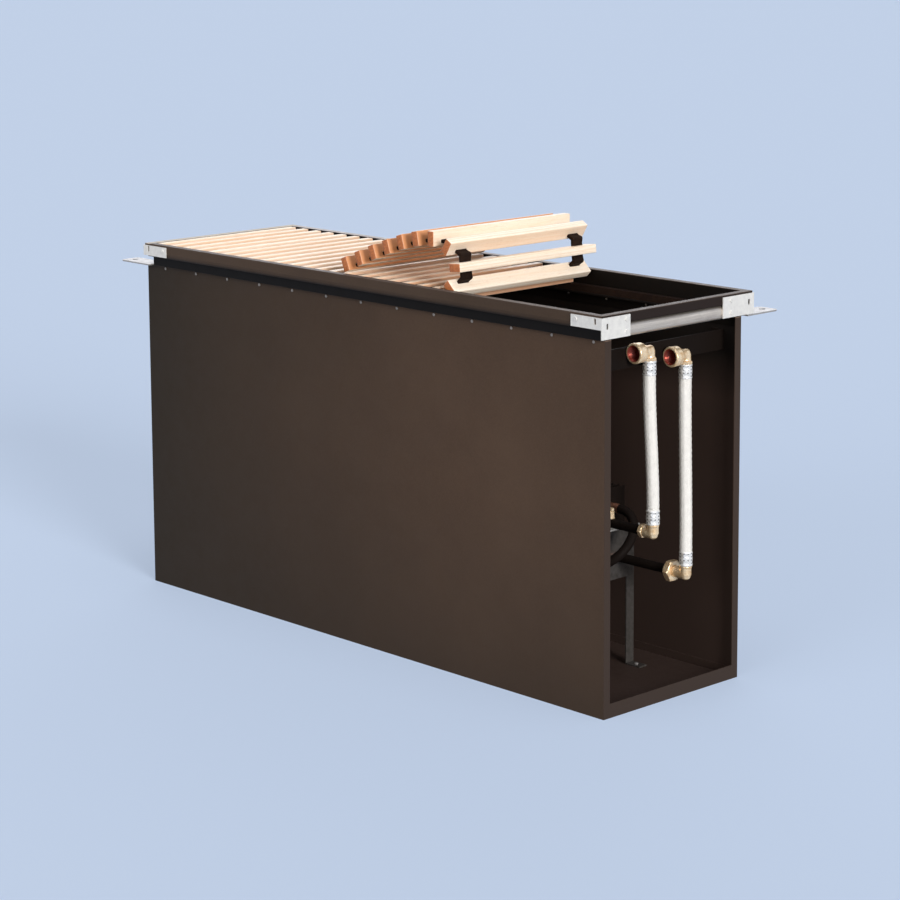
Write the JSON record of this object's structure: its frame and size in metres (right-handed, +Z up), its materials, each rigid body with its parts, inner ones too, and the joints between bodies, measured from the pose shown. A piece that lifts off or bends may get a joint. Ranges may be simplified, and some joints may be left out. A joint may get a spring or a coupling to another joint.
{
  "type": "trench convector heater",
  "caption": "Deep trench convector: open-ended steel casing with rim frame, part-rolled wooden grille, finned water exchanger and two braided connection hoses.",
  "frame": {"origin": "centre of the casing's underside", "axes": "+X towards the open connection end, +Y across the casing towards the rear long side, +Z up"},
  "size_m": [0.9575, 0.3305, 0.5732],
  "materials": {
    "casing_paint": "dark brown powder coat, semi-matt",
    "frame_paint": "dark brown powder coat, semi-matt",
    "zinc": "bright zinc plating",
    "bar_steel": "drawn steel, satin",
    "belt_rubber": "matt black",
    "beech": "clear lacquered beech, satin",
    "copper": "bare copper tube",
    "black_paint": "matt black",
    "brass": "machined brass",
    "steel_sleeve": "bright crimped sleeve",
    "hose_braid": "woven steel wire"
  },
  "bodies": {
    "heater": {"casing_front_panel": "casing_paint", "casing_rear_panel": "casing_paint", "casing_floor": "casing_paint", "casing_end_panel": "casing_paint", "frame_front_rail": "frame_paint", "frame_rear_rail": "frame_paint", "frame_left_rail": "frame_paint", "frame_right_rail": "frame_paint", "frame_rivets": "zinc", "end_crossbar": "bar_steel", "corner_bracket_front_left": "zinc", "corner_bracket_front_right": "zinc", "corner_bracket_rear_left": "zinc", "corner_bracket_rear_right": "zinc", "frame_screws": "zinc", "anchor_lug_left": "zinc", "anchor_lug_right": "zinc", "support_strips": "belt_rubber", "flat_slats": "beech", "belt_front": "belt_rubber", "belt_rear": "belt_rubber", "fin_block": "black_paint", "water_tubes": "copper", "return_bends": "black_paint", "exchanger_stand_near": "zinc", "exchanger_stand_far": "zinc", "stand_screws": "zinc", "tail_pipes": "black_paint", "vent_body": "brass", "union_nuts": "brass", "lower_elbows": "brass", "hose_ferrules": "steel_sleeve", "hose_short": "hose_braid", "hose_long": "hose_braid", "collar_nuts": "brass", "upper_elbows": "brass", "connection_bracket": "black_paint", "stud_nuts": "brass"},
    "slat_1": {"rolled_slat_1": "beech", "belt_link_1": "belt_rubber"},
    "slat_2": {"rolled_slat_2": "beech", "belt_link_2": "belt_rubber"},
    "slat_3": {"rolled_slat_3": "beech", "belt_link_3": "belt_rubber"},
    "slat_4": {"rolled_slat_4": "beech", "belt_link_4": "belt_rubber"},
    "slat_5": {"rolled_slat_5": "beech", "belt_link_5": "belt_rubber"},
    "slat_6": {"rolled_slat_6": "beech", "belt_link_6": "belt_rubber"},
    "slat_7": {"rolled_slat_7": "beech", "belt_link_7": "belt_rubber"},
    "slat_8": {"rolled_slat_8": "beech", "belt_link_8": "belt_rubber"},
    "slat_9": {"rolled_slat_9": "beech", "belt_link_9": "belt_rubber"},
    "slat_10": {"rolled_slat_10": "beech", "belt_link_10": "belt_rubber"},
    "vent": {"vent_screw": "brass"}
  },
  "joints": [
    {"name": "belt_bend_1", "type": "hinge", "parent": "heater", "child": "slat_1", "pos_m": [0.16685, 0, 0.4955], "axis": [0, 1, 0], "range_deg": [0, 45]},
    {"name": "belt_bend_2", "type": "hinge", "parent": "slat_1", "child": "slat_2", "pos_m": [0.18714, 0, 0.51579], "axis": [0, 1, 0], "range_deg": [0, 50]},
    {"name": "belt_bend_3", "type": "hinge", "parent": "slat_2", "child": "slat_3", "pos_m": [0.18464, 0, 0.54438], "axis": [0, 1, 0], "range_deg": [0, 54]},
    {"name": "belt_bend_4", "type": "hinge", "parent": "slat_3", "child": "slat_4", "pos_m": [0.16004, 0, 0.55917], "axis": [0, 1, 0], "range_deg": [0, 30.8]},
    {"name": "belt_bend_5", "type": "hinge", "parent": "slat_4", "child": "slat_5", "pos_m": [0.13134, 0, 0.55927], "axis": [0, 1, 0], "range_deg": [0, 12]},
    {"name": "belt_bend_6", "type": "hinge", "parent": "slat_5", "child": "slat_6", "pos_m": [0.10325, 0, 0.5534], "axis": [0, 1, 0], "range_deg": [0, 5]},
    {"name": "belt_bend_7", "type": "hinge", "parent": "slat_6", "child": "slat_7", "pos_m": [0.07577, 0, 0.5451], "axis": [0, 1, 0], "range_deg": [0, 2]},
    {"name": "belt_bend_8", "type": "hinge", "parent": "slat_7", "child": "slat_8", "pos_m": [0.0486, 0, 0.53585], "axis": [0, 1, 0], "range_deg": [0, 2]},
    {"name": "belt_bend_9", "type": "hinge", "parent": "slat_8", "child": "slat_9", "pos_m": [0.02178, 0, 0.52566], "axis": [0, 1, 0], "range_deg": [0, 1]},
    {"name": "belt_bend_10", "type": "hinge", "parent": "slat_9", "child": "slat_10", "pos_m": [-0.00487, 0, 0.515], "axis": [0, 1, 0], "range_deg": [0, 0.5]},
    {"name": "vent_turn", "type": "hinge", "parent": "heater", "child": "vent", "pos_m": [0.365, -0.0225, 0.214], "axis": [0, 0, 1], "range_deg": [0, 360]}
  ]
}
